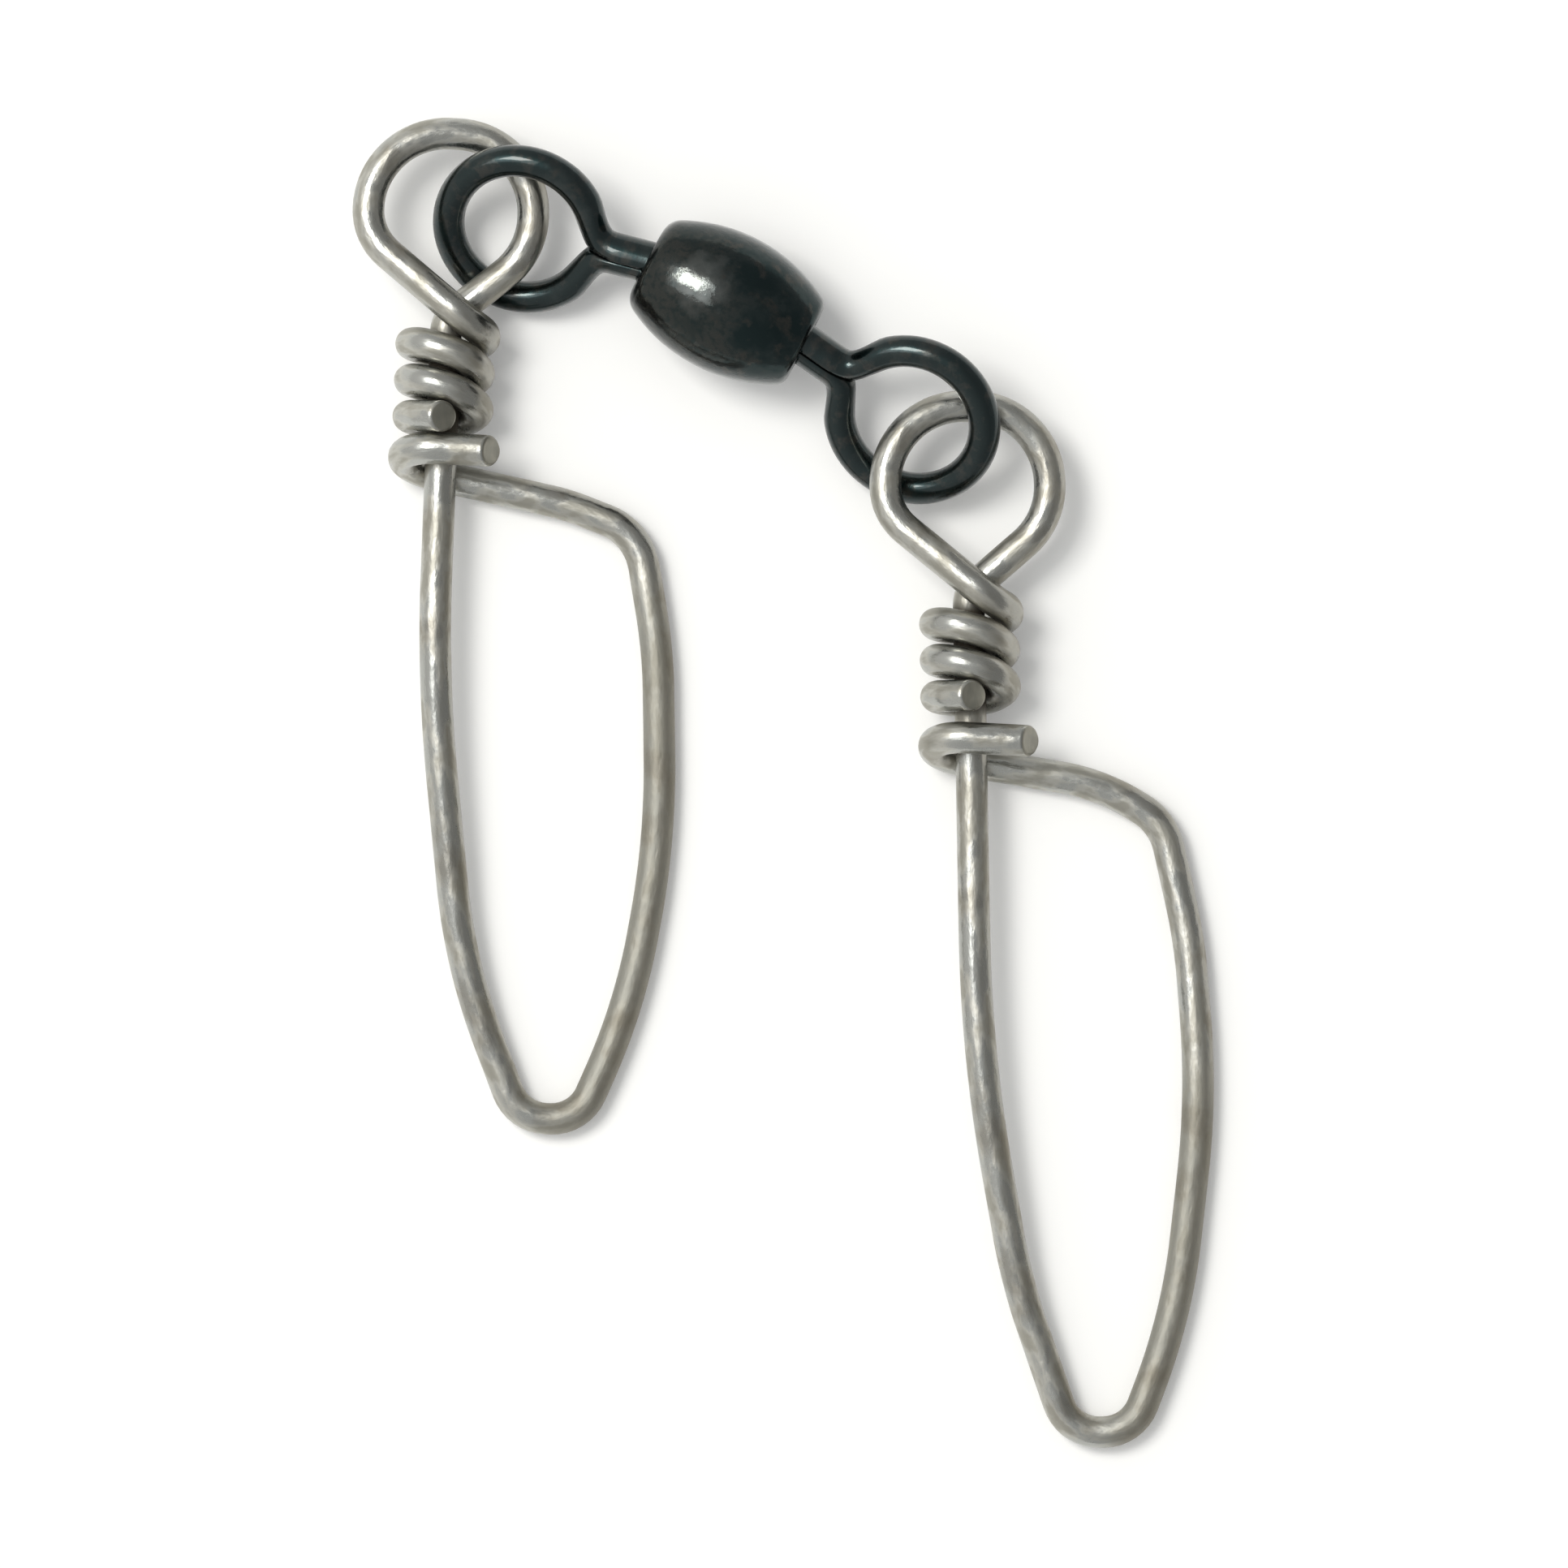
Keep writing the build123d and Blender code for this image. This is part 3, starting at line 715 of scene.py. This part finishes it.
def slant_ends(bm, stations, wire):
    """Slants both ends of a wire, so that their cuts face up as well as out. The slant fades out
    along the wire."""
    unbent = bm.verts.layers.float_vector["unbent"]
    radius = wire.thickness / 2
    fade = 3 * radius
    up = Vector((0, 0, 1))
    for (end, heading, distance), inward, lean in (
        (stations[0], 1, wire.tail_cut), (stations[-1], -1, wire.hook_cut)
    ):
        rise = (up - heading * heading.z).normalized()
        for vert in bm.verts:
            depth = (vert[unbent].z - distance) * inward
            height = (vert.co - end).dot(rise) + radius
            reach = height * math.tan(lean) * ramp(depth, fade, 0)
            vert.co += heading * inward * reach


def cut_ends(bm, wire, material):
    """Rounds the edges of a wire's two cut ends and gives the cut faces their own finish."""
    ends = [face for face in bm.faces if len(face.verts) == wire.sides]
    if len(ends) != 2:
        raise RuntimeError("The wire doesn't have two cut ends")
    for face in ends:
        face.material_index = material
    rims = [edge for face in ends for edge in face.edges]
    bmesh.ops.bevel(
        bm, geom=rims, offset=wire.cut_bevel, segments=wire.cut_steps, profile=0.5,
        affect="EDGES", material=-1,
    )


def sink(vert, spot, depth):
    """Sinks a vertex by up to a depth, in a pattern of low dents. The noise runs from -1 to 1."""
    vert.co += vert.normal * depth * ((noise.noise(spot) - 1) / 2)


def dent_wire(bm, wire, depth):
    """Low dents along the wire, as bending tools leave them."""
    unbent = bm.verts.layers.float_vector["unbent"]
    bm.normal_update()
    for vert in bm.verts:
        spot = vert[unbent] / wire.dent_size
        spot.z *= wire.dent_stretch
        sink(vert, spot, depth)


def record_wear_and_shade(bm, seat, sizes, thickness):
    """Records in a vertex attribute how each place of a snap has worn and where shade is painted:
    grime with painted shade packed in the wraps next to the standing leg, dullness down the
    opening leg, and how far it faces right, for a painted shade on the right flanks."""
    wear_and_shade = bm.verts.layers.float_vector.new("wear_and_shade")
    back = seat.inverted()
    half_width = sizes.loop_width / 2
    last_wrap = sizes.wrap_pitch * (1 - sizes.wrap_turns)

    # Where the grime with painted shade and the dullness start and where they are full, out from
    # the leg and up or down along it
    grime_and_shade_out = (0.64 * thickness, 0.53 * thickness)
    grime_and_shade_top = (0.7 * thickness, 0.35 * thickness)
    grime_and_shade_low = (last_wrap - 0.7 * thickness, last_wrap - 0.3 * thickness)
    dull_out = (half_width, half_width + thickness)
    dull_down = (sizes.dull_from, sizes.dull_from + 3 * thickness)
    bm.normal_update()
    for vert in bm.verts:
        place = back @ vert.co
        # Grime with painted shade, packed in the wraps round the standing leg
        packed = ramp(math.hypot(place.x, place.z), *grime_and_shade_out)
        packed *= ramp(place.y, *grime_and_shade_top) * ramp(place.y, *grime_and_shade_low)
        dulled = ramp(place.x, *dull_out) * ramp(-place.y, *dull_down)
        # The last value, how far the wire faces right, feeds a painted shade on the right flanks
        vert[wear_and_shade] = (packed, dulled, vert.normal.x)


def finish_piece(bm, name, node, body, materials):
    """Makes an object of a finished mesh, in the place of a CAD node."""
    mesh = bpy.data.meshes.new(name)
    bm.to_mesh(mesh)
    bm.free()
    mesh.shade_smooth()
    for material in materials:
        mesh.materials.append(material)
    piece = bpy.data.objects.new(name, mesh)
    bpy.context.scene.collection.objects.link(piece)
    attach(piece, body)
    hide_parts(node)
    return piece


def ring_route(sizes, reach, wire):
    """Corners of a swivel eye in its own plane: in the stem, round the ring, back to the stem."""
    leg = sizes.stem / 2 - wire / 2
    neck = reach - sizes.neck_distance
    strand = math.hypot(sizes.neck_distance, leg)
    tangent = math.acos(sizes.ring_radius / strand) + math.acos(sizes.neck_distance / strand)
    inner_end = -(sizes.head_start + sizes.head_taper + sizes.head_length)
    half_turn = math.pi - tangent
    turn = 2 * half_turn / sizes.ring_corners
    corner_radius = sizes.ring_radius / math.cos(turn / 2)
    corners = [(Vector((inner_end, leg, 0)), 0), (Vector((neck, leg, 0)), sizes.neck_bend)]
    for index in range(sizes.ring_corners):
        heading = half_turn - turn * (index + 0.5)
        point = Vector((reach, 0, 0)) + heading_vector(heading) * corner_radius
        corners.append((point, sizes.ring_radius))
    corners += [(Vector((neck, -leg, 0)), sizes.neck_bend), (Vector((inner_end, -leg, 0)), 0)]
    return corners


def half_round(across, up, stem_radius, sizes):
    """Where a point of a leg's section goes when the two legs are pressed into one round stem."""
    centre = stem_radius * sizes.leg_middle
    ray = Vector((across - centre, up)).normalized()
    inside = centre * ray.x
    reach = -inside + math.sqrt(inside**2 - centre**2 + stem_radius**2)
    if ray.x < 0:
        reach = min(reach, (sizes.seam / 2 - centre) / ray.x)
    return centre + ray.x * reach, ray.y * reach


def press_stem(bm, seat, sizes, reach):
    """Presses the two legs of a swivel eye into a round stem with a seam, and upsets its head."""
    fade_start = reach - sizes.neck_distance - sizes.pressed_until
    fade_end = fade_start + sizes.pressed_fade
    head_start = -sizes.head_start
    back = seat.inverted()
    for vert in bm.verts:
        place = back @ vert.co
        if place.x > fade_end:
            continue
        side = math.copysign(1, place.y)
        pressed = ramp(place.x, fade_end, fade_start)
        pressed = pressed * pressed * (3 - 2 * pressed)  # Eased at both ends
        upset = ramp(place.x, head_start, head_start - sizes.head_taper)
        stem_radius = sizes.stem / 2 + (sizes.head - sizes.stem) / 2 * upset
        across, up = half_round(abs(place.y), place.z, stem_radius, sizes)
        across = abs(place.y) + (across - abs(place.y)) * pressed
        up = place.z + (up - place.z) * pressed
        vert.co = seat @ Vector((place.x, side * max(across, sizes.seam / 2), up))


def press_side(bm, stations, seat, seam, reach_limit):
    """Keeps each leg of a swivel eye on its own side of the seam before it is pressed."""
    back = seat.inverted()
    turn_point = stations[-1][2] / 2
    unbent = bm.verts.layers.float_vector["unbent"]
    for vert in bm.verts:
        place = back @ vert.co
        if place.x > reach_limit:
            continue
        side = 1 if vert[unbent].z < turn_point else -1
        vert.co = seat @ Vector((place.x, side * max(side * place.y, seam / 2), place.z))


def leg_height_of(sizes, wire):
    """Height of a standing leg's middle, where the backs of its wraps lie on the table."""
    wrap_radius = wire + sizes.wrap_gap
    wrap_corner = wrap_radius / math.cos(math.pi / sizes.wrap_sides)
    bend_cut = sizes.wrap_rounding * (wrap_corner - wrap_radius)
    return wrap_corner - bend_cut + wire / 2


def snap_wrap_point(sizes, wrap_radius, turn):
    """Corner of the wraps at an angle about the standing leg: 0 in front, a right angle right."""
    corner = wrap_radius / math.cos(math.pi / sizes.wrap_sides)
    across = corner * math.sin(turn)
    forward = corner * math.cos(turn)
    up = sizes.wrap_pitch * (1 - turn / math.tau) - sizes.wrap_drop
    up += (forward - wrap_radius) * math.tan(sizes.wrap_tip) - across * math.tan(sizes.wrap_lean)
    return Vector((across, up, forward))


def snap_route(sizes, wire, leg_height):
    """Corners of a snap in its own place: tail, wraps, eye, leg, tip, shoulder, bar and hook."""
    wrap_radius = wire + sizes.wrap_gap
    wrap_bend = sizes.wrap_rounding * wrap_radius
    floor = wire / 2 - leg_height
    step = math.tau / sizes.wrap_sides
    turn = math.tau * sizes.wrap_turns - step / 2

    # Tail, then up round the wraps to the throat
    tail = Vector((math.cos(sizes.tail_lift), 0, math.sin(sizes.tail_lift))) * sizes.tail_length
    corners = [(snap_wrap_point(sizes, wrap_radius, turn) + tail, 0)]
    while turn > 2 * step:
        corners.append((snap_wrap_point(sizes, wrap_radius, turn), wrap_bend))
        turn -= step
    swell = Vector((sizes.throat_swell, sizes.throat_rise, 0))
    forward = Vector((0, 0, sizes.throat_lift))
    corners.append((snap_wrap_point(sizes, wrap_radius, turn) + swell, wrap_bend))
    corners.append((snap_wrap_point(sizes, wrap_radius, turn - step) + forward, wrap_bend))

    # Round the eye and down to the standing leg
    rise = sizes.eye_rise
    side_lift = (sizes.eye_left_lift + sizes.eye_top_lift) / 2
    lower_left = Vector((-sizes.eye_left, rise - sizes.eye_left_drop, sizes.eye_left_lift))
    lower_right = Vector((sizes.eye_right, rise - sizes.eye_right_drop, sizes.eye_right_lift))
    corners += [
        (lower_left, sizes.eye_left_radius),
        (Vector((-sizes.eye_left, rise + sizes.eye_top, side_lift)), sizes.eye_top_radius),
        (Vector((sizes.eye_right, rise + sizes.eye_top, sizes.eye_top_lift)), sizes.eye_top_radius),
        (lower_right, sizes.eye_right_radius),
        (Vector((0, sizes.throat_drop, 0)), sizes.throat_radius),
    ]

    # Standing leg, round the tip, and up the opening leg to the shoulder
    lean = math.tan(sizes.tip_lean)
    flare = math.tan(sizes.tip_flare)
    half_lean = math.tan((math.pi / 2 - sizes.tip_lean) / 2) * sizes.tip_radius + sizes.tip_lead
    half_flare = math.tan((math.pi / 2 - sizes.tip_flare) / 2) * sizes.tip_radius + sizes.tip_lead
    left_foot = Vector((sizes.tip_across - half_lean, -sizes.loop_length, floor))
    right_foot = Vector((sizes.tip_across + half_flare, -sizes.loop_length, floor))
    bend_share = sizes.leg_bend_rise / (sizes.loop_length - sizes.leg_straight)
    leg_bend = Vector((-sizes.leg_bend_rise * lean, sizes.leg_bend_rise, -floor * bend_share))
    flare_top = Vector((sizes.flare_rise * flare, sizes.flare_rise, 0))
    belly = Vector((sizes.loop_width + sizes.belly_bulge, -sizes.belly_drop, floor))
    lead_drop = sizes.shoulder_drop + sizes.shoulder_lead
    corners += [
        (Vector((0, -sizes.leg_straight, 0)), sizes.leg_bend_radius),
        (left_foot + leg_bend, sizes.leg_foot_radius),
        (left_foot, sizes.tip_radius),
        (right_foot, sizes.tip_radius),
        (right_foot + flare_top, sizes.leg_foot_radius),
        (belly, sizes.belly_radius),
        (
            Vector((sizes.loop_width - sizes.shoulder_lead_inset, -lead_drop, floor)),
            sizes.shoulder_lead_radius,
        ),
        (
            Vector((sizes.loop_width - sizes.shoulder_inset, -sizes.shoulder_drop, floor)),
            sizes.shoulder_radius,
        ),
    ]

    # Bar behind the standing leg, and the hook round it to the front
    hook_side = wrap_radius + sizes.hook_side_gap
    hook_bend = sizes.hook_rounding * wrap_radius
    hook_low = -sizes.hook_drop - sizes.hook_climb
    bar_run = sizes.bar_bend_across + hook_side
    bar_drop = math.tan(sizes.bar_slope) * bar_run
    bar_bend = Vector((sizes.bar_bend_across, hook_low - bar_drop, floor))
    hook_low_tip = -sizes.hook_drop - sizes.hook_fall
    hook_end = Vector((sizes.hook_tip, hook_low_tip, wrap_radius + sizes.hook_tip_lift))
    corners += [
        (bar_bend, sizes.bar_bend_radius),
        (Vector((-hook_side, hook_low, -wrap_radius)), hook_bend),
        (Vector((-hook_side, -sizes.hook_drop, wrap_radius)), hook_bend),
        (hook_end, 0),
    ]
    return corners


def barrel_profile(sizes):
    """Half section of the barrel in (along, out) from its middle, as runs and arcs."""
    half = sizes.end_length / 2
    rise = (sizes.thickness - sizes.end_thickness) / 2
    belly_radius = (half**2 + rise**2) / (2 * rise)
    belly_centre = sizes.thickness / 2 - belly_radius
    profile = []

    def arc(centre, radius, start, end, steps):
        for step in range(steps + 1):
            turn = start + (end - start) * step / steps
            profile.append(centre + Vector((math.cos(turn), math.sin(turn))) * radius)

    def shoulder_centre(side, radius):
        along = half - radius
        out = belly_centre + math.sqrt((belly_radius - radius) ** 2 - along**2)
        return Vector((side * along, out))

    left = shoulder_centre(-1, sizes.left_shoulder)
    right = shoulder_centre(1, sizes.right_shoulder)
    middle = Vector((0, belly_centre))
    left_turn = math.atan2(left.y - belly_centre, left.x)
    right_turn = math.atan2(right.y - belly_centre, right.x)
    lip = sizes.lip
    edge = sizes.bore / 2
    inner_half = half - sizes.wall
    inner_radius = belly_radius - sizes.wall
    inner_turn = math.acos(inner_half / inner_radius)
    lip_steps = sizes.lip_steps
    arc(Vector((-inner_half - lip, edge + lip)), lip, math.tau, math.pi * 1.5, lip_steps)
    arc(Vector((-half + lip, edge + lip)), lip, math.pi * 1.5, math.pi, lip_steps)
    arc(left, sizes.left_shoulder, math.pi, left_turn, sizes.left_steps)
    arc(middle, belly_radius, left_turn, right_turn, sizes.belly_steps)
    arc(right, sizes.right_shoulder, right_turn, 0, sizes.right_steps)
    arc(Vector((half - lip, edge + lip)), lip, 0, -math.pi / 2, lip_steps)
    arc(Vector((inner_half + lip, edge + lip)), lip, -math.pi / 2, -math.pi, lip_steps)
    arc(middle, inner_radius, inner_turn, math.pi - inner_turn, sizes.inner_steps)
    return profile


class SNAPSWIVEL_OT_barrel(Operator):
    """Spin the barrel of the swivel from its half section"""

    bl_idname = "snap_swivel.barrel"
    bl_label = "Barrel"

    def execute(self, context):
        sizes = context.scene.snap_swivel.barrel
        left = Vector(JOINTS["left_eye_spin"]["pos_m"])
        right = Vector(JOINTS["right_eye_spin"]["pos_m"])
        along = (right - left).normalized()
        seat = seat_matrix((left + right) / 2, along, Vector((0, 0, 1)))
        bm = bmesh.new()
        points = [bm.verts.new(seat @ Vector((p.x, 0, p.y))) for p in barrel_profile(sizes)]
        section = [bm.edges.new(pair) for pair in zip(points, points[1:] + points[:1])]
        bmesh.ops.spin(
            bm, geom=points + section, cent=seat.translation, axis=along,
            angle=math.tau, steps=sizes.steps, use_merge=True,
        )
        bmesh.ops.remove_doubles(bm, verts=bm.verts, dist=DOUBLES)
        bmesh.ops.recalc_face_normals(bm, faces=bm.faces)
        bm.normal_update()
        for vert in bm.verts:
            sink(vert, vert.co / sizes.dent_size, sizes.dent_depth)
        # Middle of the rubbed place, a painted highlight and sheen under the window lamp's
        # highlight
        swell = Vector((sizes.rub_sheen_along, math.sin(sizes.rub_sheen_turn), math.cos(sizes.rub_sheen_turn)))
        swell.yz *= sizes.thickness / 2
        material = black_nickel("Black nickel plated brass", seat @ swell)
        finish_piece(bm, "barrel_shell", "swivel_barrel", "barrel", [material])
        return {"FINISHED"}


class SNAPSWIVEL_OT_eyes(Operator):
    """Bend the two black wire eyes of the swivel and press their stems"""

    bl_idname = "snap_swivel.eyes"
    bl_label = "Swivel eyes"

    def execute(self, context):
        settings = context.scene.snap_swivel
        sizes = settings.eye
        wire = settings.wire
        material = black_nickel("Black nickel plated wire")
        for side in ("left", "right"):
            seat = eye_seat(side)
            reach = (Vector(JOINTS[side + "_snap_swing"]["pos_m"]) - seat.translation).length
            corners = [
                (seat @ point, radius) for point, radius in ring_route(sizes, reach, wire.thickness)
            ]
            stations = route_stations(corners, wire.ring_spacing, wire.turn_step)
            bm = draw_wire(stations, wire.thickness / 2, wire.sides)
            press_side(bm, stations, seat, sizes.seam, reach)
            press_stem(bm, seat, sizes, reach)
            dent_wire(bm, wire, wire.dent_depth / 2)
            finish_piece(
                bm, side + "_swivel_eye", side + "_eye_wire", side + "_eye",
                [material],
            )
        return {"FINISHED"}


class SNAPSWIVEL_OT_snaps(Operator):
    """Bend the two spring wire snaps"""

    bl_idname = "snap_swivel.snaps"
    bl_label = "Snaps"

    def execute(self, context):
        settings = context.scene.snap_swivel
        wire = settings.wire
        materials = [drawn_steel_wire(), sheared_steel()]
        for side, sizes in (("left", settings.left_snap), ("right", settings.right_snap)):
            leg_height = leg_height_of(sizes, wire.thickness)
            ring_centre = Vector(JOINTS[side + "_snap_swing"]["pos_m"])
            eye_centre = ring_centre + Vector((sizes.link_across, sizes.link_up, 0))
            eye_centre.z = leg_height
            origin = eye_centre - heading_vector(sizes.heading + math.pi / 2) * sizes.eye_rise
            seat = seat_matrix(origin, heading_vector(sizes.heading), Vector((0, 0, 1)))
            corners = [
                (seat @ point, radius)
                for point, radius in snap_route(sizes, wire.thickness, leg_height)
            ]
            stations = route_stations(corners, wire.ring_spacing, wire.turn_step)
            bm = draw_wire(stations, wire.thickness / 2, wire.sides)
            dent_wire(bm, wire, wire.dent_depth)
            record_wear_and_shade(bm, seat, sizes, wire.thickness)
            slant_ends(bm, stations, wire)
            cut_ends(bm, wire, material=1)
            finish_piece(
                bm, side + "_snap", side + "_snap_wire", side + "_snap", materials
            )
        return {"FINISHED"}


class SNAPSWIVEL_OT_stage(Operator):
    """Lay the card, hang the lamps and set the camera over the object"""

    bl_idname = "snap_swivel.stage"
    bl_label = "Stage"

    def add_lamp(self, name, towards, distance, size, power, tint):
        """Square lamp that faces the middle of the object."""
        lamp = bpy.data.lights.new(name, "AREA")
        lamp.size = size
        lamp.energy = power
        lamp.color = tint[:3]
        holder = bpy.data.objects.new(name, lamp)
        towards = Vector(towards).normalized()
        holder.location = towards * distance
        holder.rotation_euler = towards.to_track_quat("Z", "Y").to_euler()
        bpy.context.scene.collection.objects.link(holder)

    def light_room(self, scene, sizes, finishes):
        """Room light, brighter and warmer from the left and dimmer and cooler from the right."""
        world = bpy.data.worlds.new("Soft room")
        scene.world = world
        world.use_nodes = True
        tree = world.node_tree
        tree.nodes.clear()
        place = add_node(tree, "ShaderNodeTexCoord").outputs["Generated"]
        across = add_node(tree, "ShaderNodeSeparateXYZ", {0: place}).outputs["X"]
        rightness = add_node(
            tree, "ShaderNodeMapRange",
            {"Value": across, "From Min": sizes.room_left_end, "From Max": sizes.room_right_end},
        )
        tone = add_node(
            tree, "ShaderNodeMix",
            {0: rightness, 6: finishes.room_left_tint, 7: finishes.room_right_tint},
            data_type="RGBA",
        )
        power = add_node(
            tree, "ShaderNodeMapRange",
            {"Value": rightness, "To Min": sizes.room_left, "To Max": sizes.room_right},
        )
        background = add_node(tree, "ShaderNodeBackground", {"Color": tone, "Strength": power})
        add_node(tree, "ShaderNodeOutputWorld", {"Surface": background})

    def execute(self, context):
        scene = context.scene
        sizes = scene.snap_swivel.stage
        finishes = scene.snap_swivel.finishes

        bm = bmesh.new()
        bmesh.ops.create_circle(
            bm, cap_ends=True, segments=sizes.floor_sides, radius=sizes.floor_radius
        )
        mesh = bpy.data.meshes.new("table_card")
        bm.to_mesh(mesh)
        bm.free()
        mesh.materials.append(white_card())
        card = bpy.data.objects.new("table_card", mesh)
        scene.collection.objects.link(card)

        self.add_lamp(
            "Window", sizes.key_direction, sizes.key_distance, sizes.key_size, sizes.key_power,
            finishes.key_tint,
        )
        self.add_lamp(
            "Curtain", sizes.curtain_direction, sizes.curtain_distance, sizes.curtain_size,
            sizes.curtain_power, finishes.curtain_tint,
        )
        self.light_room(scene, sizes, finishes)

        camera = bpy.data.cameras.new("Overhead")
        camera.sensor_width = sizes.sensor
        camera.lens = sizes.sensor * sizes.camera_height / sizes.frame_width
        camera.clip_end = sizes.camera_reach
        holder = bpy.data.objects.new("Overhead", camera)
        holder.location = (0, 0, sizes.camera_height)
        scene.collection.objects.link(holder)
        scene.camera = holder
        scene.view_settings.view_transform = "Standard"
        return {"FINISHED"}


class SNAPSWIVEL_PT_panel(Panel):
    """Steps that make the snap swivel"""

    bl_idname = "SNAPSWIVEL_PT_panel"
    bl_label = "Snap Swivel"
    bl_space_type = "VIEW_3D"
    bl_region_type = "UI"
    bl_category = "Snap Swivel"

    def draw(self, context):
        for operator in OPERATORS:
            self.layout.operator(operator.bl_idname)


SETTINGS = (
    WireSizes,
    BarrelSizes,
    EyeSizes,
    LeftSnapSizes,
    RightSnapSizes,
    Marks,
    Finishes,
    StageSizes,
    SnapSwivelSettings,
)
OPERATORS = (
    SNAPSWIVEL_OT_barrel,
    SNAPSWIVEL_OT_eyes,
    SNAPSWIVEL_OT_snaps,
    SNAPSWIVEL_OT_stage,
)


def register():
    for cls in SETTINGS + OPERATORS + (SNAPSWIVEL_PT_panel,):
        bpy.utils.register_class(cls)
    bpy.types.Scene.snap_swivel = PointerProperty(type=SnapSwivelSettings)


def unregister():
    del bpy.types.Scene.snap_swivel
    for cls in reversed(SETTINGS + OPERATORS + (SNAPSWIVEL_PT_panel,)):
        bpy.utils.unregister_class(cls)


def main():
    register()
    bpy.ops.snap_swivel.barrel()
    bpy.ops.snap_swivel.eyes()
    bpy.ops.snap_swivel.snaps()
    bpy.ops.snap_swivel.stage()


if __name__ == "__main__":
    main()
